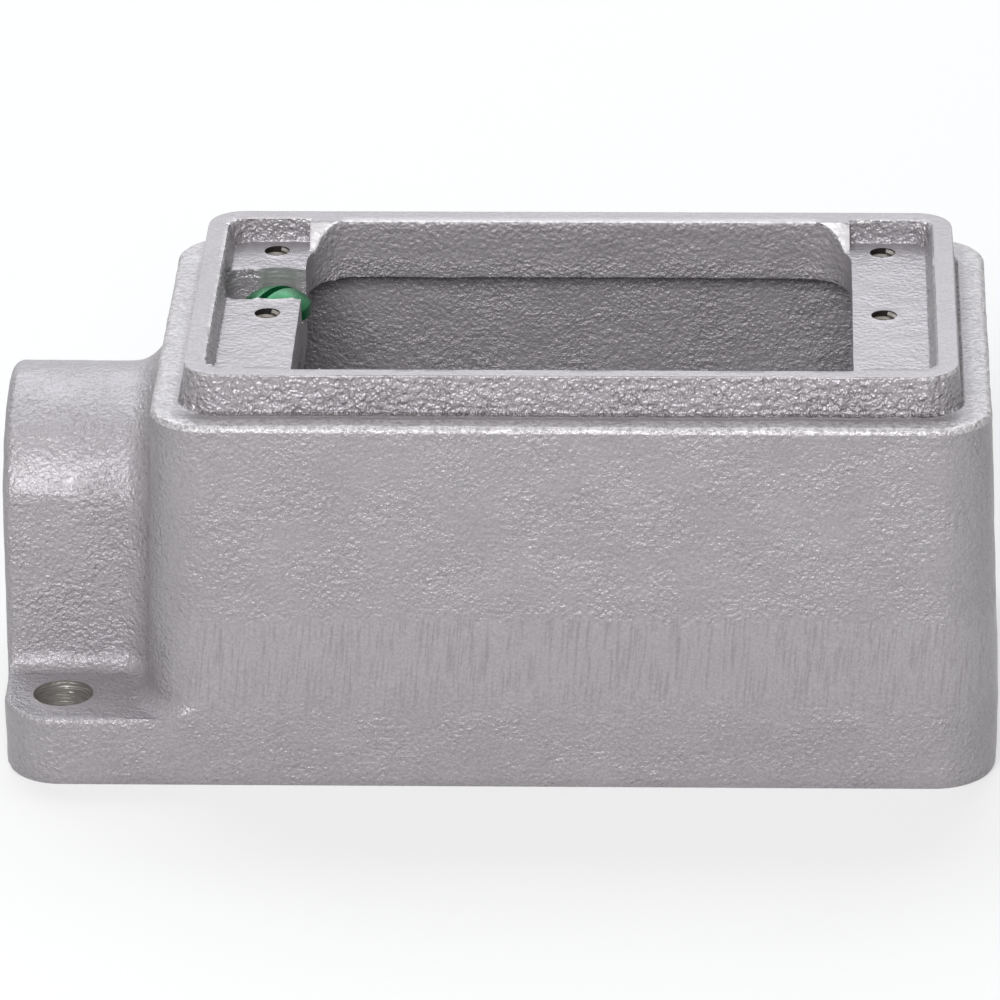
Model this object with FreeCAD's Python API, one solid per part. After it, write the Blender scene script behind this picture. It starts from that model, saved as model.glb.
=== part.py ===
"""Cast device box: one iron casting with a conduit hub and mounting lugs, and its green ground screw.

Millimetres. The back of the box lies on Z = 0, the cover opening faces +Z and the hub points to -X.
X = 0 and Y = 0 are the middle of the wiring device that the pads carry.
"""
import math
import os

import FreeCAD
import Part
from FreeCAD import Vector

os.makedirs("parts", exist_ok=True)

# Body: plan size at the ledge under the rim, and the slopes on either side of the mould's parting line.
LEDGE_LENGTH = 111.5
LEDGE_WIDTH = 67.0
PARTING_HEIGHT = 10.0
SIDE_DRAFT = 2.0
FOOT_DRAFT = 1.2
BODY_CORNER = 7.5
LEDGE_ROUND = 1.0
FOOT_BEVEL = 0.4

# Rim that carries the cover, set in from the ledge. Heights around the opening are taken down from its top.
RIM_TOP = 57.5
RIM_HEIGHT = 5.5
RIM_SETBACK_X = 4.45
RIM_SETBACK_Y = 4.6
RIM_CORNER = 5.0
RIM_SPREAD = 0.5
RIM_FOOT_ROUND = 0.7
RIM_EDGE_ROUND = 0.3
LEDGE_HEIGHT = RIM_TOP - RIM_HEIGHT
RIM_LENGTH = LEDGE_LENGTH - 2 * RIM_SETBACK_X
RIM_WIDTH = LEDGE_WIDTH - 2 * RIM_SETBACK_Y

# Standard spacing of the device and cover screws, all of one tapped size.
SCREW_SPACING_X = 83.34
SCREW_SPACING_Y = 44.45
SCREW_HOLE_RADIUS = 1.75

# Pads at the two ends, sunk below the rim, and the opening between them.
PAD_DEPTH = 3.3
PAD_THICKNESS = 6.8
RIM_END_WALL = 3.0
RIM_SIDE_WALL = 3.15
RECESS_END_RUN = 0.8
RECESS_CORNER = 2.3
PAD_REACH = 4.37
OPENING_SIDE_WALL = 3.05
OPENING_CORNER = 7.5
OPENING_TOP_CORNER = 5.0
RAMP_RUN = 2.6
RAMP_INSET = 0.15
CORE_SHIFT = -0.8
PAD_TOP = RIM_TOP - PAD_DEPTH
PAD_UNDERSIDE = PAD_TOP - PAD_THICKNESS
RECESS_TOP_LENGTH = RIM_LENGTH - 2 * RIM_END_WALL
RECESS_FOOT_LENGTH = RECESS_TOP_LENGTH - 2 * RECESS_END_RUN
RECESS_WIDTH = RIM_WIDTH - 2 * RIM_SIDE_WALL
OPENING_LENGTH = SCREW_SPACING_X - 2 * PAD_REACH
OPENING_WIDTH = RIM_WIDTH - 2 * OPENING_SIDE_WALL

# Hollow below the collar.
COLLAR_DEPTH = 8.6
FLOOR_THICKNESS = 4.0
WALL_THICKNESS = 3.9
HOLLOW_ROUND = 3.0
COLLAR_UNDERSIDE = RIM_TOP - COLLAR_DEPTH

# Conduit hub: half-round top on drafted flanks, pipe-thread bore and bushing throat.
HUB_LENGTH = 21.25
HUB_CROWN_DROP = 6.3
HUB_RADIUS = 19.0
HUB_CREASE_INSET = 1.8
HUB_FLANK_SPREAD = 1.8
HUB_CREASE_ROUND = 3.0
HUB_END_ROUND = 1.6
BORE_RADIUS = 13.1
BORE_DEPTH = 16.0
BORE_CHAMFER = 0.8
THROAT_RADIUS = 10.4
THROAT_ROUND = 1.5
FLARE_ANGLE = 60.0
HUB_END = -LEDGE_LENGTH / 2 - HUB_LENGTH
HUB_AXIS_HEIGHT = LEDGE_HEIGHT - HUB_CROWN_DROP - HUB_RADIUS
HUB_CREASE_HALF_WIDTH = HUB_RADIUS - HUB_CREASE_INSET
HUB_FOOT_HALF_WIDTH = HUB_CREASE_HALF_WIDTH + HUB_FLANK_SPREAD

# Mounting lugs on both sides of the hub, their tops at the parting line.
LUG_SETBACK = 0.6
LUG_CORNER = 7.8
LUG_EDGE_ROUND = 0.9
LUG_HOLE_INSET_X = 7.9
LUG_HOLE_INSET_Y = 6.5
LUG_HOLE_RADIUS = 4.05
HUB_JOINT_ROUND = 4.8
LUG_JOINT_ROUND = 2.5
LUG_END = HUB_END + LUG_SETBACK
LUG_HOLE_X = LUG_END + LUG_HOLE_INSET_X
LUG_HOLE_Y = LEDGE_WIDTH / 2 - LUG_HOLE_INSET_Y

# Ground screw, its notch in the hub-end pad and the thick part below it.
SCREW_INSET = 3.8
SCREW_Y = 10.6
SEAT_DEPTH = 4.3
SPOT_FACE_DEPTH = 0.3
NOTCH_REACH = 7.0
NOTCH_WIDTH = 10.2
NOTCH_CORNER = 2.0
SPOT_FACE_RADIUS = 5.6
BOSS_THICKNESS = 7.4
BOSS_WIDTH = 13.0
BOSS_ROUND = 1.5
SHANK_CLEARANCE = 0.02
SHANK_RADIUS = 2.40
SHANK_LENGTH = 8.0
SHANK_CHAMFER = 0.5
HEAD_RADIUS = 4.7
HEAD_HEIGHT = 3.5
HEAD_EDGE_HEIGHT = 1.4
HEAD_EDGE_ROUND = 0.4
SLOT_WIDTH = 1.2
SLOT_DEPTH = 1.7
SLOT_ANGLE = 47.0
SCREW_X = -OPENING_LENGTH / 2 - SCREW_INSET
SEAT_HEIGHT = PAD_TOP - SEAT_DEPTH
NOTCH_FLOOR = SEAT_HEIGHT + SPOT_FACE_DEPTH
NOTCH_END = SCREW_X - NOTCH_REACH
BOSS_UNDERSIDE = SEAT_HEIGHT - BOSS_THICKNESS
GROUND_HOLE_RADIUS = SHANK_RADIUS + SHANK_CLEARANCE

# Overlap used where one solid is joined to, or cut from, another, and a margin for picking edges.
LAP = 2.0
NEAR = 0.1


def rounded_rectangle(half_length, half_width, corner, z, centre_x=0.0, centre_y=0.0):
    """Closed wire of a rectangle with round corners, lying flat at height z."""
    straight_x = half_length - corner
    straight_y = half_width - corner
    diagonal = corner * math.sqrt(0.5)
    arcs = []
    for sx, sy in ((1, 1), (-1, 1), (-1, -1), (1, -1)):
        centre = Vector(centre_x + sx * straight_x, centre_y + sy * straight_y, z)
        on_x = centre + Vector(sx * corner, 0, 0)
        on_y = centre + Vector(0, sy * corner, 0)
        between = centre + Vector(sx * diagonal, sy * diagonal, 0)
        first, last = (on_x, on_y) if sx * sy > 0 else (on_y, on_x)
        arcs.append((first, between, last))
    edges = []
    for arc, following in zip(arcs, arcs[1:] + arcs[:1]):
        edges.append(Part.Arc(*arc).toShape())
        edges.append(Part.makeLine(arc[2], following[0]))
    return Part.Wire(edges)


def tapered_block(*sections):
    """Solid with straight sides through rounded rectangles, each given as for rounded_rectangle."""
    return Part.makeLoft([rounded_rectangle(*section) for section in sections], True, True)


def straight_edges(points):
    """Straight edges from each point to the next."""
    return [Part.makeLine(start, end) for start, end in zip(points, points[1:])]


def turned(edges, origin, axis):
    """Solid turned about an axis from the edges of a closed outline."""
    return Part.Face(Part.Wire(edges)).revolve(origin, axis, 360)


def upright_hole(x, y, radius, low, high):
    """Cylinder standing on the plan point (x, y)."""
    return Part.makeCylinder(radius, high - low, Vector(x, y, low))


def edges_inside(shape, low, high):
    """Edges of the shape that lie wholly within the box between two corners."""
    limits = FreeCAD.BoundBox(*low, *high)
    return [edge for edge in shape.Edges if limits.isInside(edge.BoundBox)]


def edges_at_height(shape, z):
    """Edges of the shape that lie level at one height."""
    low = (shape.BoundBox.XMin - NEAR, shape.BoundBox.YMin - NEAR, z - NEAR)
    high = (shape.BoundBox.XMax + NEAR, shape.BoundBox.YMax + NEAR, z + NEAR)
    return edges_inside(shape, low, high)


# Outside of the body: it spreads from the ledge down to the parting line and narrows again to its foot.
ledge_half = (LEDGE_LENGTH / 2, LEDGE_WIDTH / 2)
parting_spread = (LEDGE_HEIGHT - PARTING_HEIGHT) * math.tan(math.radians(SIDE_DRAFT))


def spread_at(z):
    """How far the body's sides stand outside their place at the ledge."""
    if z > PARTING_HEIGHT:
        return (LEDGE_HEIGHT - z) * math.tan(math.radians(SIDE_DRAFT))
    return parting_spread - (PARTING_HEIGHT - z) * math.tan(math.radians(FOOT_DRAFT))


def body_section(z, inset=0.0):
    """Section of the body's outside at one height."""
    spread = spread_at(z) - inset
    return (ledge_half[0] + spread, ledge_half[1] + spread, BODY_CORNER + spread, z)


body = tapered_block(
    body_section(0.0, FOOT_BEVEL),
    body_section(FOOT_BEVEL),
    body_section(PARTING_HEIGHT),
    body_section(LEDGE_HEIGHT),
)
body = body.makeFillet(LEDGE_ROUND, edges_at_height(body, LEDGE_HEIGHT))

# Hub: arch section swept along X, from its end face into the body's end wall.
crease_height = HUB_AXIS_HEIGHT + math.sqrt(HUB_RADIUS ** 2 - HUB_CREASE_HALF_WIDTH ** 2)
hub_inner_end = -LEDGE_LENGTH / 2 + LAP
hub_feet = [Vector(HUB_END, side * HUB_FOOT_HALF_WIDTH, 0) for side in (-1, 1)]
hub_creases = [Vector(HUB_END, side * HUB_CREASE_HALF_WIDTH, crease_height) for side in (-1, 1)]
hub_crown = Vector(HUB_END, 0, HUB_AXIS_HEIGHT + HUB_RADIUS)
hub_outline = Part.Wire([
    Part.makeLine(hub_feet[0], hub_creases[0]),
    Part.Arc(hub_creases[0], hub_crown, hub_creases[1]).toShape(),
    Part.makeLine(hub_creases[1], hub_feet[1]),
    Part.makeLine(hub_feet[1], hub_feet[0]),
])
hub = Part.Face(hub_outline).extrude(Vector(hub_inner_end - HUB_END, 0, 0))
hub = hub.makeFillet(HUB_CREASE_ROUND, edges_at_height(hub, crease_height))
hub_end_edges = edges_inside(
    hub,
    (HUB_END - NEAR, -HUB_RADIUS - NEAR, -NEAR),
    (HUB_END + NEAR, HUB_RADIUS + NEAR, HUB_AXIS_HEIGHT + HUB_RADIUS + NEAR),
)
hub_end_edges = [edge for edge in hub_end_edges if edge.BoundBox.ZMax > NEAR]
hub = hub.makeFillet(HUB_END_ROUND, hub_end_edges)

# Lugs: the plan of one plate across the hub's foot, flush with the body's long sides.
lug_inner_end = -LEDGE_LENGTH / 2 + BODY_CORNER


def lug_outline(z, inset=0.0):
    """Plan of the lug plate at one height, with its two outer corners rounded."""
    spread = spread_at(z) - inset
    half = LEDGE_WIDTH / 2 + spread
    end = LUG_END - spread + spread_at(0.0)
    corner = LUG_CORNER + spread - spread_at(0.0)
    diagonal = corner * (1 - math.sqrt(0.5))
    right = [
        Vector(lug_inner_end, -half, z),
        Vector(end + corner, -half, z),
        Vector(end + diagonal, -half + diagonal, z),
        Vector(end, -half + corner, z),
    ]
    left = [Vector(point.x, -point.y, z) for point in right]
    return Part.Wire([
        Part.makeLine(right[0], right[1]),
        Part.Arc(right[1], right[2], right[3]).toShape(),
        Part.makeLine(right[3], left[3]),
        Part.Arc(left[3], left[2], left[1]).toShape(),
        Part.makeLine(left[1], left[0]),
        Part.makeLine(left[0], right[0]),
    ])


# The body and hub stand on a slab at lug height while the hollow corners are filleted in one go.
slab_margin = LUG_CORNER + LAP
slab = Part.makeBox(
    LEDGE_LENGTH / 2 - LUG_END + 2 * slab_margin,
    LEDGE_WIDTH + 2 * slab_margin,
    PARTING_HEIGHT,
    Vector(LUG_END - slab_margin, -LEDGE_WIDTH / 2 - slab_margin, 0),
)
outside = body.fuse([hub, slab]).removeSplitter()
foot_half_length = ledge_half[0] + parting_spread + NEAR
foot_half_width = ledge_half[1] + parting_spread + NEAR
hub_joint = edges_inside(
    outside,
    (-foot_half_length, -HUB_FOOT_HALF_WIDTH, PARTING_HEIGHT - NEAR),
    (-ledge_half[0] + NEAR, HUB_FOOT_HALF_WIDTH, HUB_AXIS_HEIGHT + HUB_RADIUS + NEAR),
)
outside = outside.makeFillet(HUB_JOINT_ROUND, hub_joint)
lug_joint = edges_inside(
    outside,
    (HUB_END - NEAR, -foot_half_width, PARTING_HEIGHT - NEAR),
    (foot_half_length, foot_half_width, PARTING_HEIGHT + NEAR),
)
outside = outside.makeFillet(LUG_JOINT_ROUND, lug_joint)

# The slab is then trimmed to the lugs, so the fillets run out on the body's flush sides.
trim_height = PARTING_HEIGHT + 2 * LUG_JOINT_ROUND
lug_sections = [lug_outline(0.0, FOOT_BEVEL)]
lug_sections += [lug_outline(z) for z in (FOOT_BEVEL, PARTING_HEIGHT, trim_height)]
lug_column = Part.makeLoft(lug_sections, True, True)
trim = Part.makeBox(
    slab.BoundBox.XLength + 2 * LAP,
    slab.BoundBox.YLength + 2 * LAP,
    trim_height + LAP,
    Vector(slab.BoundBox.XMin - LAP, slab.BoundBox.YMin - LAP, -LAP),
)
outside = outside.cut(trim.cut(body.fuse([hub, lug_column])))

# Lug edges: rounded off along the free part of their outline only.
lug_block = Part.makeLoft([lug_outline(0.0), lug_outline(PARTING_HEIGHT)], True, True)
lug_top_edges = [
    edge for edge in edges_at_height(lug_block, PARTING_HEIGHT) if edge.BoundBox.XMin < lug_inner_end - NEAR
]
lug_waste = lug_block.cut(lug_block.makeFillet(LUG_EDGE_ROUND, lug_top_edges))
lug_inset = HUB_FOOT_HALF_WIDTH + LUG_JOINT_ROUND
lug_free_length = -ledge_half[0] - parting_spread - LUG_JOINT_ROUND - LUG_END + LAP
for near_side in (lug_inset, -lug_inset - LEDGE_WIDTH):
    free = Part.makeBox(lug_free_length, LEDGE_WIDTH, trim_height, Vector(LUG_END - LAP, near_side, 0))
    outside = outside.cut(lug_waste.common(free))

# Rim, spreading a little toward its foot.
rim_half = (RIM_LENGTH / 2, RIM_WIDTH / 2, RIM_CORNER)
rim_foot_half = tuple(size + RIM_SPREAD for size in rim_half)
rim = tapered_block(
    (*rim_foot_half, LEDGE_HEIGHT - LAP),
    (*rim_foot_half, LEDGE_HEIGHT),
    (*rim_half, RIM_TOP),
)
outside = outside.fuse(rim).removeSplitter()
rim_foot_edges = edges_inside(
    outside,
    (-rim_foot_half[0] - NEAR, -rim_foot_half[1] - NEAR, LEDGE_HEIGHT - NEAR),
    (rim_foot_half[0] + NEAR, rim_foot_half[1] + NEAR, LEDGE_HEIGHT + NEAR),
)
outside = outside.makeFillet(RIM_FOOT_ROUND, rim_foot_edges)
outside = outside.makeFillet(RIM_EDGE_ROUND, edges_at_height(outside, RIM_TOP))

# Hollow of the box: full length under the pads, higher between them, open through the collar.
hollow = tapered_block(
    body_section(FLOOR_THICKNESS, WALL_THICKNESS),
    body_section(PARTING_HEIGHT, WALL_THICKNESS),
    body_section(PAD_UNDERSIDE, WALL_THICKNESS),
)
hollow = hollow.makeFillet(HOLLOW_ROUND, edges_at_height(hollow, FLOOR_THICKNESS))
collar_half_width = body_section(PAD_UNDERSIDE, WALL_THICKNESS)[1]
under_collar = tapered_block(
    (OPENING_LENGTH / 2, collar_half_width, HOLLOW_ROUND, PAD_UNDERSIDE - LAP),
    (OPENING_LENGTH / 2, collar_half_width, HOLLOW_ROUND, COLLAR_UNDERSIDE),
)
opening = tapered_block(
    (OPENING_LENGTH / 2, OPENING_WIDTH / 2, OPENING_CORNER, PAD_UNDERSIDE - LAP, 0.0, CORE_SHIFT),
    (OPENING_LENGTH / 2, OPENING_WIDTH / 2, OPENING_TOP_CORNER, RIM_TOP + LAP, 0.0, CORE_SHIFT),
)

# Recess over each pad: drafted end wall, upright inner end.
end_slope = RECESS_END_RUN / PAD_DEPTH
recess_profile = [
    Vector(RECESS_FOOT_LENGTH / 2, -RECESS_WIDTH / 2, PAD_TOP),
    Vector(RECESS_TOP_LENGTH / 2 + LAP * end_slope, -RECESS_WIDTH / 2, RIM_TOP + LAP),
    Vector(OPENING_LENGTH / 2, -RECESS_WIDTH / 2, RIM_TOP + LAP),
    Vector(OPENING_LENGTH / 2, -RECESS_WIDTH / 2, PAD_TOP),
]
recess = Part.Face(Part.makePolygon(recess_profile + recess_profile[:1])).extrude(Vector(0, RECESS_WIDTH, 0))
recess_corner_edges = [
    edge for edge in recess.Edges
    if edge.BoundBox.XMin > RECESS_FOOT_LENGTH / 2 - NEAR and edge.BoundBox.ZLength > PAD_DEPTH
]
recess = recess.makeFillet(RECESS_CORNER, recess_corner_edges)
recesses = [recess, recess.mirror(Vector(0, 0, 0), Vector(1, 0, 0))]

# Ramps from the pads up to the rim, in the four corners of the opening.
ramp_slope = RAMP_RUN / PAD_DEPTH
ramp_half = OPENING_WIDTH / 2 - RAMP_INSET
ramp_profile = [
    Vector(-OPENING_LENGTH / 2, CORE_SHIFT + RAMP_RUN - ramp_half, PAD_TOP),
    Vector(-OPENING_LENGTH / 2, CORE_SHIFT - LAP * ramp_slope - ramp_half, RIM_TOP + LAP),
    Vector(-OPENING_LENGTH / 2, CORE_SHIFT + LAP * ramp_slope + ramp_half, RIM_TOP + LAP),
    Vector(-OPENING_LENGTH / 2, CORE_SHIFT - RAMP_RUN + ramp_half, PAD_TOP),
]
ramps = Part.Face(Part.makePolygon(ramp_profile + ramp_profile[:1])).extrude(Vector(OPENING_LENGTH, 0, 0))

# Notch for the ground screw in the hub-end pad, with a machined seat and thick metal under it.
notch_half_length = (SCREW_X + SPOT_FACE_RADIUS - NOTCH_END) / 2
notch_centre_x = NOTCH_END + notch_half_length
notch_half = (notch_half_length, NOTCH_WIDTH / 2, NOTCH_CORNER)
notch = tapered_block(
    (*notch_half, NOTCH_FLOOR, notch_centre_x, SCREW_Y),
    (*notch_half, RIM_TOP + LAP, notch_centre_x, SCREW_Y),
)
spot_face = upright_hole(SCREW_X, SCREW_Y, SPOT_FACE_RADIUS, SEAT_HEIGHT, PAD_TOP + LAP)
boss = Part.makeBox(
    ledge_half[0] - OPENING_LENGTH / 2,
    BOSS_WIDTH,
    PAD_UNDERSIDE + LAP - BOSS_UNDERSIDE,
    Vector(-ledge_half[0], SCREW_Y - BOSS_WIDTH / 2, BOSS_UNDERSIDE),
)
boss = boss.makeFillet(BOSS_ROUND, edges_at_height(boss, BOSS_UNDERSIDE))
hollow = hollow.cut(boss)

# Conduit bore: chamfered mouth, thread cylinder, shoulder, smooth throat flaring into the hollow.
throat_end = -body_section(HUB_AXIS_HEIGHT, WALL_THICKNESS)[0]
bore_end = HUB_END + BORE_DEPTH
shoulder_end = bore_end + BORE_RADIUS - THROAT_RADIUS
flare_start = throat_end - THROAT_ROUND


def bore_point(x, radius):
    """Point of the bore's half outline, at a distance from the hub's axis."""
    return Vector(x, 0, HUB_AXIS_HEIGHT + radius)


def flare_point(degrees):
    """Point on the round of the throat, where its wall has turned outward by an angle."""
    angle = math.radians(degrees)
    radius = THROAT_RADIUS + THROAT_ROUND * (1 - math.cos(angle))
    return bore_point(flare_start + THROAT_ROUND * math.sin(angle), radius)


flare_rim = flare_point(FLARE_ANGLE)
flare_exit = flare_rim + Vector(LAP, 0, LAP * math.tan(math.radians(FLARE_ANGLE)))
mouth_axis = bore_point(HUB_END - LAP, 0)
bore_wall = [
    mouth_axis,
    bore_point(HUB_END - LAP, BORE_RADIUS + BORE_CHAMFER + LAP),
    bore_point(HUB_END + BORE_CHAMFER, BORE_RADIUS),
    bore_point(bore_end, BORE_RADIUS),
    bore_point(shoulder_end, THROAT_RADIUS),
    flare_point(0),
]
bore_edges = straight_edges(bore_wall)
bore_edges.append(Part.Arc(flare_point(0), flare_point(FLARE_ANGLE / 2), flare_rim).toShape())
bore_edges += straight_edges([flare_rim, flare_exit, bore_point(flare_exit.x, 0), mouth_axis])
bore = turned(bore_edges, mouth_axis, Vector(1, 0, 0))

# Tapped holes of the pads, the ground screw's hole and the lug holes.
holes = []
for side_x in (-1, 1):
    for side_y in (-1, 0, 1):
        place = (side_x * SCREW_SPACING_X / 2, side_y * SCREW_SPACING_Y / 2)
        holes.append(upright_hole(*place, SCREW_HOLE_RADIUS, BOSS_UNDERSIDE - LAP, RIM_TOP))
for side_y in (-1, 1):
    holes.append(upright_hole(LUG_HOLE_X, side_y * LUG_HOLE_Y, LUG_HOLE_RADIUS, -LAP, PARTING_HEIGHT + LAP))
holes.append(upright_hole(SCREW_X, SCREW_Y, GROUND_HOLE_RADIUS, BOSS_UNDERSIDE - LAP, PAD_TOP))

cored = [hollow, under_collar, opening, *recesses, ramps, notch]
machined = [spot_face, bore, *holes]
cast_body = outside.cut(cored + machined).removeSplitter()
cast_body.exportStep("parts/cast_body.step")

# Ground screw: slotted pan head on a plain shank, seated on the spot face.
screw_axis = Vector(SCREW_X, SCREW_Y, 0)


def screw_point(radius, height):
    """Point of the screw's half outline, its height measured from the seat."""
    return Vector(SCREW_X + radius, SCREW_Y, SEAT_HEIGHT + height)


dome_rise = HEAD_HEIGHT - HEAD_EDGE_HEIGHT
dome_radius = (HEAD_RADIUS ** 2 + dome_rise ** 2) / 2 / dome_rise
dome_middle = HEAD_HEIGHT - dome_radius + math.sqrt(dome_radius ** 2 - HEAD_RADIUS ** 2 / 4)
half_outline = [
    screw_point(0, -SHANK_LENGTH),
    screw_point(SHANK_RADIUS - SHANK_CHAMFER, -SHANK_LENGTH),
    screw_point(SHANK_RADIUS, -SHANK_LENGTH + SHANK_CHAMFER),
    screw_point(SHANK_RADIUS, 0),
    screw_point(HEAD_RADIUS, 0),
    screw_point(HEAD_RADIUS, HEAD_EDGE_HEIGHT),
]
crown = screw_point(0, HEAD_HEIGHT)
outline_edges = straight_edges(half_outline)
outline_edges.append(Part.Arc(half_outline[-1], screw_point(HEAD_RADIUS / 2, dome_middle), crown).toShape())
outline_edges.append(Part.makeLine(crown, half_outline[0]))
ground_screw = turned(outline_edges, screw_axis, Vector(0, 0, 1))
head_edges = edges_at_height(ground_screw, SEAT_HEIGHT + HEAD_EDGE_HEIGHT)
ground_screw = ground_screw.makeFillet(HEAD_EDGE_ROUND, head_edges)
slot = Part.makeBox(
    2 * HEAD_RADIUS + LAP,
    SLOT_WIDTH,
    SLOT_DEPTH + LAP,
    Vector(SCREW_X - HEAD_RADIUS - LAP / 2, SCREW_Y - SLOT_WIDTH / 2, SEAT_HEIGHT + HEAD_HEIGHT - SLOT_DEPTH),
)
slot.rotate(screw_axis, Vector(0, 0, 1), SLOT_ANGLE)
ground_screw = ground_screw.cut(slot)
ground_screw.exportStep("parts/ground_screw.step")
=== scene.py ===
"""Looks of the cast device box: its sand-cast skin, tapped holes, pipe thread and green ground screw."""

import math

import bmesh
import bpy
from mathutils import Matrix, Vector, noise


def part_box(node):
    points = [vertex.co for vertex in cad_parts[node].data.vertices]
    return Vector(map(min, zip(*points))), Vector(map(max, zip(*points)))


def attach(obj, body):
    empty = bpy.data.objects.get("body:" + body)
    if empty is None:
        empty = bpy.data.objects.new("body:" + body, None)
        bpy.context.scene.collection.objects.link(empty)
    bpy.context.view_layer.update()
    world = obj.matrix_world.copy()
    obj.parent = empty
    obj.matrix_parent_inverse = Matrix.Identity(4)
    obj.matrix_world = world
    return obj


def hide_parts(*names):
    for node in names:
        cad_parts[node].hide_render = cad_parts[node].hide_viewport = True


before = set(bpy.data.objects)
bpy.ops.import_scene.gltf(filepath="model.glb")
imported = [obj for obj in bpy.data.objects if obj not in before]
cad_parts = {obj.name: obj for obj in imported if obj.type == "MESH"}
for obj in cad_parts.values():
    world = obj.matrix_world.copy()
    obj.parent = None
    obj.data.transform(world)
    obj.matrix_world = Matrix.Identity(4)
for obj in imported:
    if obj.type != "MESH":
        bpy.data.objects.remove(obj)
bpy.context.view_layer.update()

# The casting: one piece of iron poured in sand, fettled, and coated with silver-grey lacquer.
# Its mesh is the CAD solid cut into small cells, so that the skin can wander and the edges soften
# as they do in a sand mould. The cover's seat, the back and the drilled holes stay true.
MM = 0.001

# Places on the box, in millimetres: heights, then ends along it and sides across it.
RIM_TOP = 57.5
PAD_TOP = 54.2
LEDGE_HEIGHT = 52.0
SEAT_HEIGHT = 49.9
COLLAR_FOOT = LEDGE_HEIGHT - 3.2
HUB_AXIS_HEIGHT = 26.7
PARTING_HEIGHT = 10.0
BORE_END = -58.2
HUB_START = -57.0
THROAT_END = -52.0
OUTER_END = 53.9
OUTER_SIDE = 31.6
RIM_FOOT_END = 52.6
RIM_FOOT_SIDE = 30.2
CREASE_WIDTH = 1.3

# Holes, in millimetres: six in the pads, the bore of the hub, one in each lug, and the ground screw's.
DEVICE_SPACING = 83.34
COVER_SPACING = 44.45
HOLE_PLACES = [(end * DEVICE_SPACING / 2, side * COVER_SPACING / 2) for end in (-1, 1) for side in (-1, 0, 1)]
HOLE_RADIUS = 1.75
BORE_RADIUS = 13.1
LUG_HOLE_X = -68.5
LUG_HOLE_Y = 27.0
LUG_HOLE_RADIUS = 4.05
SCREW_X = -41.1
SCREW_Y = 10.6
SPOT_FACE_RADIUS = 5.6

# Cells of the mesh, in millimetres: finer around the opening, where the forms are small.
CELL = 1.6
FINE_CELL = 0.8
FINE_FROM = LEDGE_HEIGHT - 2.6

casting_shape = bmesh.new()
casting_shape.from_mesh(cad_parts["cast_body"].data)
bmesh.ops.remove_doubles(casting_shape, verts=casting_shape.verts, dist=0.001 * MM)
bmesh.ops.dissolve_limit(
    casting_shape, angle_limit=math.radians(0.05), verts=casting_shape.verts, edges=casting_shape.edges
)


def slice_up(faces, axis, low, high, cell):
    """Cuts faces by planes square to an axis, halving the stretch until each part is one cell wide."""
    count = math.ceil((high - low) / cell - 0.001)
    if count < 2 or not faces:
        return
    middle = low + cell * (count // 2)
    square = Vector([float(i == axis) for i in range(3)])
    geometry = set(faces)
    for face in faces:
        geometry.update(face.edges)
        geometry.update(face.verts)
    cut = bmesh.ops.bisect_plane(
        casting_shape, geom=list(geometry), dist=0.02 * MM, plane_co=square * middle, plane_no=square
    )
    parts = [item for item in cut["geom"] if isinstance(item, bmesh.types.BMFace)]
    slice_up([part for part in parts if part.calc_center_median()[axis] < middle], axis, low, middle, cell)
    slice_up([part for part in parts if part.calc_center_median()[axis] >= middle], axis, middle, high, cell)


low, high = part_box("cast_body")
for axis in range(3):
    slice_up(casting_shape.faces[:], axis, low[axis], high[axis], CELL * MM)
for axis in range(3):
    upper = [face for face in casting_shape.faces if face.calc_center_median().z > FINE_FROM * MM]
    slice_up(upper, axis, low[axis], high[axis], FINE_CELL * MM)
bmesh.ops.triangulate(casting_shape, faces=casting_shape.faces)
casting_shape.normal_update()


def off_hub_axis(y, z):
    """Distance of a point from the axis of the hub's bore."""
    return math.hypot(y, z - HUB_AXIS_HEIGHT)


def off_lug_hole(x, y):
    """Distance of a point from the axis of the nearer lug hole."""
    return math.hypot(x - LUG_HOLE_X, abs(y) - LUG_HOLE_Y)


def off_screw(x, y):
    """Distance of a point from the axis of the ground screw."""
    return math.hypot(x - SCREW_X, y - SCREW_Y)


def off_pad_hole(x, y):
    """Distance of a point from the axis of the nearest hole in the pads."""
    return min(math.hypot(x - hole_x, y - hole_y) for hole_x, hole_y in HOLE_PLACES)


def on_wall(normal):
    """Whether a surface stands more upright than level."""
    return abs(normal.z) < 0.5


def on_outside(x, y):
    """Whether a point lies on a long side of the body or on its plain end."""
    return abs(y) > OUTER_SIDE or x > OUTER_END


def clamped(share):
    """A share kept between 0 and 1."""
    return max(0.0, min(1.0, share))


def drilled(x, y, z):
    """Whether a point lies in a hole that was drilled or bored after casting."""
    if x < THROAT_END and off_hub_axis(y, z) < BORE_RADIUS + 0.9:
        return True
    if x < HUB_START and z < PARTING_HEIGHT + 0.1 and off_lug_hole(x, y) < LUG_HOLE_RADIUS + 0.15:
        return True
    if z < PAD_TOP + 0.05 and off_screw(x, y) < SPOT_FACE_RADIUS + 0.1:
        return True
    return off_pad_hole(x, y) < HOLE_RADIUS + 0.15


# The ramps get a painted highlight in the lacquer's colour, and the smooth grain of a ground face.
def on_ramp(x, z, normal):
    """Whether a point lies on one of the four ramps between the pads and the rim."""
    return z > PAD_TOP + 0.02 and 31.0 < abs(x) < 37.4 and normal.z > 0.35 and abs(normal.y) > 0.35


def tapped(centre, normal):
    """Whether a face is the wall behind a thread, in the pipe bore or in a hole of the pads."""
    x, y, z = centre
    if x < BORE_END:
        return abs(off_hub_axis(y, z) - BORE_RADIUS) < 0.3 and abs(normal.x) < 0.4
    return on_wall(normal) and off_pad_hole(x, y) < HOLE_RADIUS + 0.05


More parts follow.
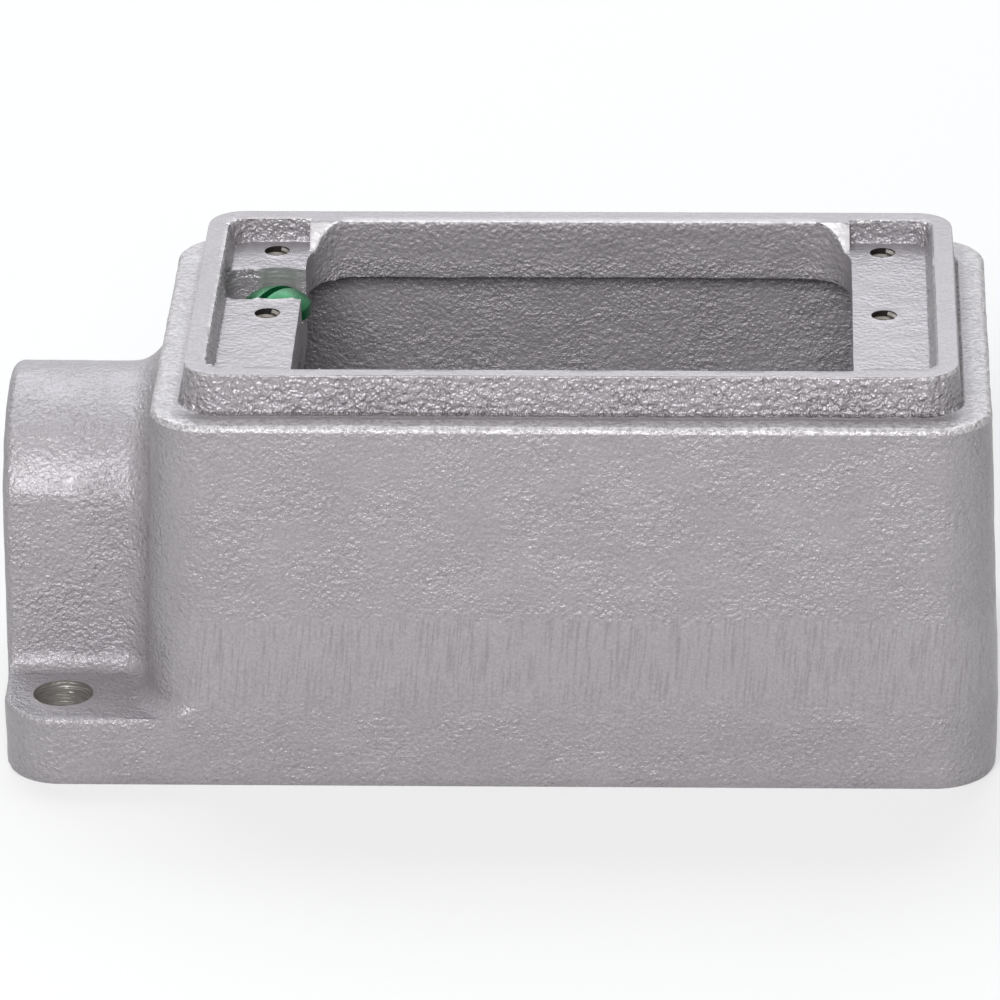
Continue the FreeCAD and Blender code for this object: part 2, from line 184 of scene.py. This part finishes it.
def bareness(centre, normal):
    """How bare a cut left a face: 1 in bores and on the screw's seat, less beside it, 0 on the cast skin."""
    x, y, z = centre
    if x < BORE_END:
        in_bore = off_hub_axis(y, z) < BORE_RADIUS + 0.79 and normal.x > -0.95
        in_lug = off_lug_hole(x, y) < LUG_HOLE_RADIUS + 0.05 and on_wall(normal)
        return float(in_bore or in_lug)
    if off_screw(x, y) < SPOT_FACE_RADIUS + 0.05 and z < PAD_TOP:
        return 0.3 if on_wall(normal) else float(abs(z - SEAT_HEIGHT) < 0.05)
    return float(tapped(centre, normal))


# Painted shade: the faces in this corner get a darker lacquer colour.
def in_foot_crease(centre, normal):
    """Whether a face lies deep in the corner between the ledge and the rim's foot."""
    x, y, z = centre
    near_rim = abs(y) < RIM_FOOT_SIDE and abs(x) < RIM_FOOT_END
    past_rim = abs(y) > RIM_FOOT_SIDE - CREASE_WIDTH or abs(x) > RIM_FOOT_END - CREASE_WIDTH
    low_down = LEDGE_HEIGHT - 0.1 < z < LEDGE_HEIGHT + 0.5
    return near_rim and past_rim and low_down and 0.4 < normal.z < 0.9


# Cut faces show bare metal, with rings where a drill ran through a lug or beside the screw. Painted shade
# darkens the walls behind the threads and the corner at the rim's foot, and a painted highlight lightens the
# ground ramps.
face_marks = {
    name: casting_shape.faces.layers.float.new(name) for name in ("painted_crease_shade", "bare", "painted_hole_shade", "painted_ramp_highlight", "rings")
}
for face in casting_shape.faces:
    centre = face.calc_center_median() / MM
    bare = bareness(centre, face.normal)
    ringed = centre.z < PARTING_HEIGHT or 0.0 < bare < 1.0
    face[face_marks["painted_crease_shade"]] = float(in_foot_crease(centre, face.normal))
    face[face_marks["bare"]] = bare
    face[face_marks["painted_hole_shade"]] = float(tapped(centre, face.normal))
    face[face_marks["painted_ramp_highlight"]] = float(on_ramp(centre.x, centre.z, face.normal))
    face[face_marks["rings"]] = bare * (1.0 if ringed else 0.15)

# Edges that the mould left are softened: once over the sharp ones, and widely over the parting line.
SHARP_TURN = math.radians(30)
PARTING_REACH = 6.0
PARTING_PASSES = 8
SOFTENING = {"factor": 0.5, "use_axis_x": True, "use_axis_y": True, "use_axis_z": True}
soft_edges = []
parting = []
for vert in casting_shape.verts:
    x, y, z = vert.co / MM
    if drilled(x, y, z) or z < 0.1:
        continue
    at_parting = abs(z - PARTING_HEIGHT) < PARTING_REACH and abs(vert.normal.z) < 0.3
    if on_outside(x, y) and at_parting and x > HUB_START + 1.0:
        parting.append(vert)
    if any(edge.calc_face_angle(0.0) > SHARP_TURN for edge in vert.link_edges):
        soft_edges.append(vert)
bmesh.ops.smooth_vert(casting_shape, verts=soft_edges, **SOFTENING)
for turn in range(PARTING_PASSES):
    bmesh.ops.smooth_vert(casting_shape, verts=parting, **SOFTENING)

# The skin, in millimetres: how far it lies inside the drawn surface, and how deep and long its waves are.
SKIN_DEPTH = 0.11
ROLL_DEPTH = 0.09
ROLL_LENGTH = 11.0
RIPPLE_DEPTH = 0.08
RIPPLE_LENGTH = 2.8


def skin_depth(x, y, z):
    """How far, in millimetres, the cast skin lies inside the drawn surface at a point."""
    if drilled(x, y, z) or z < 0.05 or z > RIM_TOP - 0.02:
        return 0.0
    point = Vector((x, y, z))
    roll = ROLL_DEPTH * noise.noise(point / ROLL_LENGTH)
    ripple = RIPPLE_DEPTH * noise.noise(point / RIPPLE_LENGTH + Vector((40.0, 0.0, 0.0)))
    return SKIN_DEPTH + roll + ripple


# How strongly the sand grain stands out, by place: from none at 0 to full at about 1.
CUT_GRAIN = 0.1
LEVEL_GRAIN = 0.28
OUTSIDE_GRAIN = 0.5
INSIDE_GRAIN = 0.62
COLLAR_GRAIN = 0.35
COLLAR_FOOT_GAIN = 0.45
RIM_FOOT_GRAIN = 1.2
RIM_TOP_LOSS = 0.3


def grain_strength(x, y, z, normal):
    """How strongly the sand grain stands out at a point."""
    on_seat = z > RIM_TOP - 0.2 and normal.z > 0.6
    if drilled(x, y, z) or on_seat or on_ramp(x, z, normal):
        return CUT_GRAIN
    if normal.z > 0.8 and z > LEDGE_HEIGHT - 0.3:
        return LEVEL_GRAIN
    if z > COLLAR_FOOT and abs(x) < 37.8 and -27.2 < y < 25.6:
        return COLLAR_GRAIN + COLLAR_FOOT_GAIN * clamped((LEDGE_HEIGHT + 0.5 - z) / 2.0)
    if z > LEDGE_HEIGHT + 0.1:
        return RIM_FOOT_GRAIN - RIM_TOP_LOSS * (z - LEDGE_HEIGHT) / (RIM_TOP - LEDGE_HEIGHT)
    if x < HUB_START and z > PARTING_HEIGHT + 1.0:
        return OUTSIDE_GRAIN if normal.z > 0.5 else INSIDE_GRAIN
    return OUTSIDE_GRAIN if x < HUB_START or on_outside(x, y) else INSIDE_GRAIN


def belt_share(x, y, normal):
    """How fully the linishing belt could reach a point of the outside, from 0 to 1: not close to the hub."""
    if abs(normal.z) > 0.3 or not on_outside(x, y):
        return 0.0
    return clamped((x + 54.0) / 5.0)


def dullness(x, y, z):
    """How dull the lacquer dried at a point: 1 in the hollow and its collar, where little spray reached."""
    in_hollow = 2.0 < z < COLLAR_FOOT and abs(x) < 54.0 and abs(y) < 31.3
    in_collar = COLLAR_FOOT - 0.1 < z < RIM_TOP - 0.3 and abs(x) < 37.5 and -26.8 < y < 25.2
    return float(in_hollow or in_collar)


def painted_light(x, y, z, normal):
    """How much painted light a point gets: fully on the edges of ledge and rim, as a painted highlight, and
    on the ledge's front, as painted light where the rim shades it.
    """
    past_rim = abs(y) > RIM_FOOT_SIDE or abs(x) > RIM_FOOT_END
    on_ledge = past_rim and LEDGE_HEIGHT - 1.1 < z < LEDGE_HEIGHT + 0.1
    on_rim = z > RIM_TOP - 0.45
    if (on_ledge or on_rim) and 0.12 < normal.z < 0.93:
        return 1.0
    if on_ledge and normal.z > 0.5:
        return 1.0 if y < -30.0 else 0.5
    return 0.0


vert_marks = {
    name: casting_shape.verts.layers.float.new(name) for name in ("grain", "painted_light", "lumpy", "dull", "belt")
}
casting_shape.normal_update()
for vert in casting_shape.verts:
    x, y, z = vert.co / MM
    vert[vert_marks["grain"]] = grain_strength(x, y, z, vert.normal)
    vert[vert_marks["belt"]] = belt_share(x, y, vert.normal)
    vert[vert_marks["dull"]] = dullness(x, y, z)
    vert[vert_marks["painted_light"]] = painted_light(x, y, z, vert.normal)
    vert[vert_marks["lumpy"]] = float(z > LEDGE_HEIGHT + 0.1)
    vert.co -= vert.normal * skin_depth(x, y, z) * MM


def make_piece(name, shape):
    """Turns a finished shape into an object of the scene."""
    mesh = bpy.data.meshes.new(name)
    shape.to_mesh(mesh)
    shape.free()
    piece = bpy.data.objects.new(name, mesh)
    bpy.context.scene.collection.objects.link(piece)
    return piece


casting = make_piece("casting", casting_shape)
casting.data.attributes.remove(casting.data.attributes["custom_normal"])
casting.data.shade_smooth()
casting.data.set_sharp_from_angle(angle=math.radians(38))


def linear(hex_colour):
    """Linear RGBA of an sRGB hex colour."""
    parts = [int(hex_colour[i:i + 2], 16) / 255 for i in (1, 3, 5)]
    return [p / 12.92 if p <= 0.04045 else ((p + 0.055) / 1.055) ** 2.4 for p in parts] + [1.0]


def add_node(tree, kind, settings=(), inputs=()):
    """Adds a shader node with its settings, and fills its inputs with values or other nodes' outputs."""
    made = tree.nodes.new("ShaderNode" + kind)
    for name, value in dict(settings).items():
        setattr(made, name, value)
    for name, value in dict(inputs).items():
        if isinstance(value, bpy.types.NodeSocket):
            tree.links.new(value, made.inputs[name])
        else:
            made.inputs[name].default_value = value
    return made


def start_finish(name):
    """Starts a material, and gives its node tree and its shader too."""
    finish = bpy.data.materials.new(name)
    finish.use_nodes = True
    return finish, finish.node_tree, finish.node_tree.nodes["Principled BSDF"]


# Aluminium lacquer over a sand-cast skin: a dull silver that glints on the high side of each sand grain.
lacquer, tree, shader = start_finish("aluminium_lacquer_on_sand_cast_iron")
place = add_node(tree, "TexCoord").outputs["Object"]
marks = {}
for name in (*face_marks, *vert_marks):
    marks[name] = add_node(tree, "Attribute", {"attribute_name": name}).outputs["Fac"]

# The belt's scratches are long and stand nearly upright. The drill's rings lie level.
upright = add_node(
    tree, "Mapping", {"vector_type": "TEXTURE"},
    {"Vector": place, "Rotation": (0.0, math.radians(5), 0.0), "Scale": (1.0, 1.0, 20.0)},
).outputs["Vector"]
level = add_node(tree, "Mapping", inputs={"Vector": place, "Scale": (0.12, 0.12, 1.0)}).outputs["Vector"]

# Each pattern has the way it lies, the width of one spot in millimetres, its detail and its roughness.
# Grit, scratches and the lacquer's flakes are really finer, and are drawn as coarse as they need to show.
patterns = {}
for name, lie, width, detail, roughness in (
    ("grains", place, 0.6, 2.5, 0.55),
    ("lumps", place, 0.7, 1.0, 0.5),
    ("grit", place, 0.4, 1.0, 0.5),
    ("flakes", place, 0.32, 1.0, 0.5),
    ("swells", place, 2.4, 1.0, 0.5),
    ("patches", place, 7.0, 2.0, 0.5),
    ("blotches", place, 9.0, 3.0, 0.5),
    ("comb", upright, 0.9, 3.0, 0.5),
    ("scratches", upright, 0.35, 2.0, 0.5),
    ("rings", level, 0.45, 3.0, 0.5),
):
    patterns[name] = add_node(
        tree, "TexNoise",
        inputs={"Vector": lie, "Scale": 1 / (width * MM), "Detail": detail, "Roughness": roughness},
    ).outputs["Fac"]

# The belt ran over a strip low on the sides, whose top is a ragged comb and whose foot fades out.
STRIP_TOP = (23.4 * MM, 26.0 * MM)
STRIP_FOOT = (9.5 * MM, 15.0 * MM)
height_here = add_node(tree, "SeparateXYZ", inputs={0: place}).outputs["Z"]
strip_top = add_node(
    tree, "MapRange",
    inputs={
        "Value": patterns["comb"], "From Min": 0.3, "From Max": 0.7,
        "To Min": STRIP_TOP[0], "To Max": STRIP_TOP[1],
    },
).outputs["Result"]
below_top = add_node(
    tree, "Math", {"operation": "SUBTRACT"}, {0: strip_top, 1: height_here}
).outputs["Value"]
reach = add_node(
    tree, "MapRange", inputs={"Value": below_top, "From Min": -0.6 * MM, "From Max": 0.9 * MM}
).outputs["Result"]
foot = add_node(
    tree, "MapRange", inputs={"Value": height_here, "From Min": STRIP_FOOT[0], "From Max": STRIP_FOOT[1]}
).outputs["Result"]
strip = add_node(tree, "Math", {"operation": "MULTIPLY"}, {0: reach, 1: foot}).outputs["Value"]
linished = add_node(tree, "Math", {"operation": "MULTIPLY"}, {0: strip, 1: marks["belt"]}).outputs["Value"]

# Sand grains under a millimetre wide, rounded lumps on the rim, and a slow roll over a few millimetres.
# They stand out unevenly from patch to patch, and the belt took most of them off its strip.
grains = add_node(
    tree, "Mix", inputs={0: marks["lumpy"], 2: patterns["grains"], 3: patterns["lumps"]}
).outputs[0]
skin = add_node(
    tree, "Math", {"operation": "MULTIPLY_ADD"}, {0: patterns["swells"], 1: 0.6, 2: grains}
).outputs["Value"]
skin = add_node(tree, "Math", {"operation": "SUBTRACT"}, {0: skin, 1: 0.8}).outputs["Value"]
left = add_node(tree, "MapRange", inputs={"Value": linished, "To Min": 1.0, "To Max": 0.2}).outputs["Result"]
uneven = add_node(
    tree, "MapRange",
    inputs={
        "Value": patterns["patches"], "From Min": 0.35, "From Max": 0.65, "To Min": 0.65, "To Max": 1.25,
    },
).outputs["Result"]
cast_skin = skin
for share in (marks["grain"], left, uneven):
    cast_skin = add_node(tree, "Math", {"operation": "MULTIPLY"}, {0: cast_skin, 1: share}).outputs["Value"]
ringed = add_node(
    tree, "Math", {"operation": "MULTIPLY"}, {0: patterns["rings"], 1: marks["rings"]}
).outputs["Value"]
relief = add_node(
    tree, "Math", {"operation": "MULTIPLY_ADD"}, {0: ringed, 1: 0.36, 2: cast_skin}
).outputs["Value"]
bump = add_node(
    tree, "Bump", inputs={"Height": relief, "Distance": 0.66 * MM, "Strength": 1.0}
).outputs["Normal"]

# The lacquer is blotched, scored where the belt ran, and flaked.
colour = add_node(
    tree, "Mix", {"data_type": "RGBA"},
    {"Factor": patterns["blotches"], 6: linear("#999599"), 7: linear("#A7A3A7")},
).outputs[2]
scored = add_node(
    tree, "MapRange", inputs={"Value": patterns["scratches"], "From Min": 0.36, "From Max": 0.5}
).outputs["Result"]
scored_colour = add_node(
    tree, "Mix", {"data_type": "RGBA"}, {"Factor": scored, 6: linear("#979397"), 7: linear("#A4A0A4")}
).outputs[2]
colour = add_node(
    tree, "Mix", {"data_type": "RGBA"}, {"Factor": linished, 6: colour, 7: scored_colour}
).outputs[2]
flaked = add_node(
    tree, "MapRange",
    inputs={"Value": patterns["flakes"], "From Min": 0.3, "From Max": 0.7, "To Min": 0.9, "To Max": 1.1},
).outputs["Result"]
colour = add_node(
    tree, "Mix", {"data_type": "RGBA", "blend_type": "MULTIPLY"}, {"Factor": 1.0, 6: colour, 7: flaked}
).outputs[2]
# Over it lie a painted highlight on the edges of ledge and rim and painted light on the ledge's front,
# painted shade in the corner at the rim's foot, bare cuts, painted shade behind the threads, and a painted
# highlight on the ground ramps.
painted_light_share = add_node(
    tree, "MapRange", inputs={"Value": grains, "From Min": 0.35, "From Max": 0.6}
).outputs["Result"]
painted_light_share = add_node(tree, "Math", {"operation": "MULTIPLY"}, {0: marks["painted_light"], 1: painted_light_share}).outputs["Value"]
for share, shade in (
    (painted_light_share, "#C8C5C6"),
    (marks["painted_crease_shade"], "#757274"),
    (marks["bare"], "#AFACA8"),
    (marks["painted_hole_shade"], "#45423F"),
    (marks["painted_ramp_highlight"], "#C6C4C6"),
):
    colour = add_node(
        tree, "Mix", {"data_type": "RGBA"}, {"Factor": share, 6: colour, 7: linear(shade)}
    ).outputs[2]
metal = add_node(
    tree, "MapRange", inputs={"Value": marks["bare"], "To Min": 0.35, "To Max": 0.8}
).outputs["Result"]
sheen = add_node(
    tree, "MapRange", inputs={"Value": patterns["grit"], "To Min": 0.32, "To Max": 0.46}
).outputs["Result"]
sheen = add_node(
    tree, "Math", {"operation": "MULTIPLY_ADD"}, {0: marks["dull"], 1: 0.08, 2: sheen}
).outputs["Value"]
tree.links.new(bump, shader.inputs["Normal"])
tree.links.new(colour, shader.inputs["Base Color"])
tree.links.new(sheen, shader.inputs["Roughness"])
tree.links.new(metal, shader.inputs["Metallic"])
casting.data.materials.append(lacquer)
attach(casting, "root")
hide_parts("cast_body")

# The threads: right-hand screw threads cut in the six holes of the pads, and the pipe thread in the hub.
# Each is a ridge of bare iron that winds up the bore the tap was run into, with a flat crest.
# Its foot is sunk a little into the bore's wall, so that no gap shows.
THREAD_TURNS = 7.2
HOLE_PITCH = 0.794
HOLE_THREAD_DEPTH = 0.34
HOLE_THREAD_REACH = 6.6
HOLE_TURN_STEPS = 24
PIPE_PITCH = 1.814
PIPE_THREAD_DEPTH = 1.15
PIPE_THREAD_START = -76.0
PIPE_TURN_STEPS = 72


def wind_ridge(shape, profile, centre, along, pitch, turn_steps):
    """Winds a ridge from its section: one turn about the axis for each pitch along it."""
    section = shape.faces.new([shape.verts.new(point) for point in profile])
    start = section.edges[:]
    bmesh.ops.spin(
        shape, geom=[section, *section.edges, *section.verts], cent=centre, axis=along,
        dvec=Vector(along) * pitch / turn_steps, angle=2 * math.pi * THREAD_TURNS,
        steps=round(THREAD_TURNS * turn_steps),
    )
    open_end = [edge for edge in start if edge.is_valid and edge.is_boundary]
    bmesh.ops.holes_fill(shape, edges=open_end, sides=0)


threads_shape = bmesh.new()
for hole_x, hole_y in HOLE_PLACES:
    wall = hole_x + HOLE_RADIUS + 0.02
    crest = hole_x + HOLE_RADIUS - HOLE_THREAD_DEPTH
    foot_z = PAD_TOP - HOLE_THREAD_REACH
    profile = [(wall, 0.0), (crest, 0.30), (crest, 0.44), (wall, 0.74)]
    profile = [Vector((x, hole_y, foot_z + z)) * MM for x, z in profile]
    centre = Vector((hole_x, hole_y, 0.0)) * MM
    wind_ridge(threads_shape, profile, centre, (0, 0, 1), HOLE_PITCH * MM, HOLE_TURN_STEPS)
wall = HUB_AXIS_HEIGHT + BORE_RADIUS + 0.03
crest = HUB_AXIS_HEIGHT + BORE_RADIUS - PIPE_THREAD_DEPTH
profile = [(0.0, wall), (0.75, crest), (1.0, crest), (1.75, wall)]
profile = [Vector((PIPE_THREAD_START + x, 0.0, z)) * MM for x, z in profile]
centre = Vector((0.0, 0.0, HUB_AXIS_HEIGHT)) * MM
wind_ridge(threads_shape, profile, centre, (1, 0, 0), PIPE_PITCH * MM, PIPE_TURN_STEPS)
bmesh.ops.recalc_face_normals(threads_shape, faces=threads_shape.faces)
threads = make_piece("threads", threads_shape)
threads.data.shade_smooth()
threads.data.set_sharp_from_angle(angle=math.radians(30))

# Freshly cut iron: warmer in tone and shinier than the lacquer, with a faint tear from the tap.
cut_iron, tree, shader = start_finish("tapped_cast_iron")
place = add_node(tree, "TexCoord").outputs["Object"]
tears = add_node(
    tree, "TexNoise", inputs={"Vector": place, "Scale": 1 / (0.5 * MM), "Detail": 3.0}
).outputs["Fac"]
colour = add_node(
    tree, "Mix", {"data_type": "RGBA"}, {"Factor": tears, 6: linear("#7E7974"), 7: linear("#B4AFA9")}
).outputs[2]
sheen = add_node(tree, "MapRange", inputs={"Value": tears, "To Min": 0.25, "To Max": 0.5}).outputs["Result"]
bump = add_node(
    tree, "Bump", inputs={"Height": tears, "Distance": 0.06 * MM, "Strength": 1.0}
).outputs["Normal"]
tree.links.new(colour, shader.inputs["Base Color"])
tree.links.new(sheen, shader.inputs["Roughness"])
tree.links.new(bump, shader.inputs["Normal"])
shader.inputs["Metallic"].default_value = 0.8
threads.data.materials.append(cut_iron)
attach(threads, "root")

# The ground screw: a slotted pan head in steel, dyed green, driven into the notch of the hub-end pad.
# Its mesh is the CAD solid; the dye gives a satin green that thins to a lighter tone in patches.
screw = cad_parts["ground_screw"]
# Green dye over zinc-plated steel: the plating shines through, with a slightly cloudy sheen.
green, tree, shader = start_finish("green_dyed_zinc_plate")
place = add_node(tree, "TexCoord").outputs["Object"]
clouds = add_node(
    tree, "TexNoise", inputs={"Vector": place, "Scale": 1 / (1.5 * MM), "Detail": 4.0}
).outputs["Fac"]
specks = add_node(
    tree, "TexNoise", inputs={"Vector": place, "Scale": 1 / (0.3 * MM), "Detail": 2.0}
).outputs["Fac"]
colour = add_node(
    tree, "Mix", {"data_type": "RGBA"}, {"Factor": clouds, 6: linear("#0A4F2B"), 7: linear("#237D50")}
).outputs[2]
sheen = add_node(tree, "MapRange", inputs={"Value": specks, "To Min": 0.18, "To Max": 0.42}).outputs["Result"]
bump = add_node(
    tree, "Bump", inputs={"Height": specks, "Distance": 0.05 * MM, "Strength": 1.0}
).outputs["Normal"]
tree.links.new(colour, shader.inputs["Base Color"])
tree.links.new(sheen, shader.inputs["Roughness"])
tree.links.new(bump, shader.inputs["Normal"])
shader.inputs["Metallic"].default_value = 0.45
screw.data.materials.clear()
screw.data.materials.append(green)

# Floor: a wide sheet of matt white paper, laid flat under the box.
# It keeps the contact shadow and otherwise shows as plain white.
FLOOR_HALF = 6.0
FLOOR_LIFT = 0.47
floor_shape = bmesh.new()
bmesh.ops.create_grid(floor_shape, x_segments=1, y_segments=1, size=FLOOR_HALF)
floor = make_piece("floor", floor_shape)
white, tree, shader = start_finish("white_paper")
shader.inputs["Base Color"].default_value = linear("#BABABA")
shader.inputs["Roughness"].default_value = 0.9
shader.inputs["Specular IOR Level"].default_value = 0.0
path = add_node(tree, "LightPath").outputs
seen = path["Is Camera Ray"]
for ray in (path["Is Glossy Ray"], path["Is Transmission Ray"]):
    seen = add_node(tree, "Math", {"operation": "MAXIMUM"}, {0: seen, 1: ray}).outputs["Value"]
lift = add_node(tree, "Math", {"operation": "MULTIPLY"}, {0: seen, 1: FLOOR_LIFT}).outputs["Value"]
tree.links.new(lift, shader.inputs["Emission Strength"])
shader.inputs["Emission Color"].default_value = (1.0, 1.0, 1.0, 1.0)
floor.data.materials.append(white)

# Studio light: a bright room all round, a large softbox high behind the box, a smaller one over the camera.
# The room lights the box at a low level, and shows as white where it is seen or mirrored.
ROOM_LEVEL = 0.30
CLOTH_LEVEL = 0.4
world = bpy.data.worlds.new("studio")
bpy.context.scene.world = world
world.use_nodes = True
tree = world.node_tree
sky = tree.nodes["Background"]
path = add_node(tree, "LightPath").outputs
# Dark cloths stand at the two sides of the table: only the metal mirrors them.
toward = add_node(tree, "TexCoord").outputs["Generated"]
sideways = add_node(tree, "SeparateXYZ", inputs={0: toward}).outputs["X"]
sideways = add_node(tree, "Math", {"operation": "ABSOLUTE"}, {0: sideways}).outputs["Value"]
cloth = add_node(
    tree, "MapRange",
    inputs={"Value": sideways, "From Min": 0.35, "From Max": 0.8, "To Min": 1.0, "To Max": CLOTH_LEVEL},
).outputs["Result"]
mirrored = add_node(
    tree, "Math", {"operation": "MULTIPLY"}, {0: path["Is Glossy Ray"], 1: cloth}
).outputs["Value"]
seen = path["Is Camera Ray"]
for ray in (path["Is Transmission Ray"], mirrored):
    seen = add_node(tree, "Math", {"operation": "MAXIMUM"}, {0: seen, 1: ray}).outputs["Value"]
room = add_node(
    tree, "MapRange", inputs={"Value": seen, "To Min": ROOM_LEVEL, "To Max": 1.0}
).outputs["Result"]
tree.links.new(room, sky.inputs["Strength"])
sky.inputs["Color"].default_value = (1.0, 1.0, 1.0, 1.0)


def softbox(name, place, size, power, tint):
    """Rectangular area lamp that looks at the middle of the box."""
    lamp = bpy.data.lights.new(name, "AREA")
    lamp.shape = "RECTANGLE"
    lamp.size = size[0]
    lamp.size_y = size[1]
    lamp.energy = power
    lamp.color = linear(tint)[:3]
    holder = bpy.data.objects.new(name, lamp)
    holder.location = place
    holder.rotation_euler = (Vector((0.0, 0.0, 0.03)) - Vector(place)).to_track_quat("-Z", "Y").to_euler()
    bpy.context.scene.collection.objects.link(holder)


softbox("rear", place=(-0.1, 0.62, 0.80), size=(1.0, 0.7), power=6.4, tint="#F6FBFE")
softbox("front", place=(-0.15, -1.0, 0.68), size=(0.72, 0.36), power=11.0, tint="#FFFFFF")

# Camera: a long lens, a little above the box, looking at its long side.
lens = bpy.data.cameras.new("camera")
lens.lens = 281.346
lens.sensor_width = 36.0
lens.clip_end = 20.0
camera = bpy.data.objects.new("camera", lens)
camera.location = (0.02790, -0.97338, 0.46256)
camera.rotation_euler = [math.radians(angle) for angle in (65.8914, 0.6125, 1.9837)]
bpy.context.scene.collection.objects.link(camera)
bpy.context.scene.camera = camera
bpy.context.scene.view_settings.view_transform = "Standard"
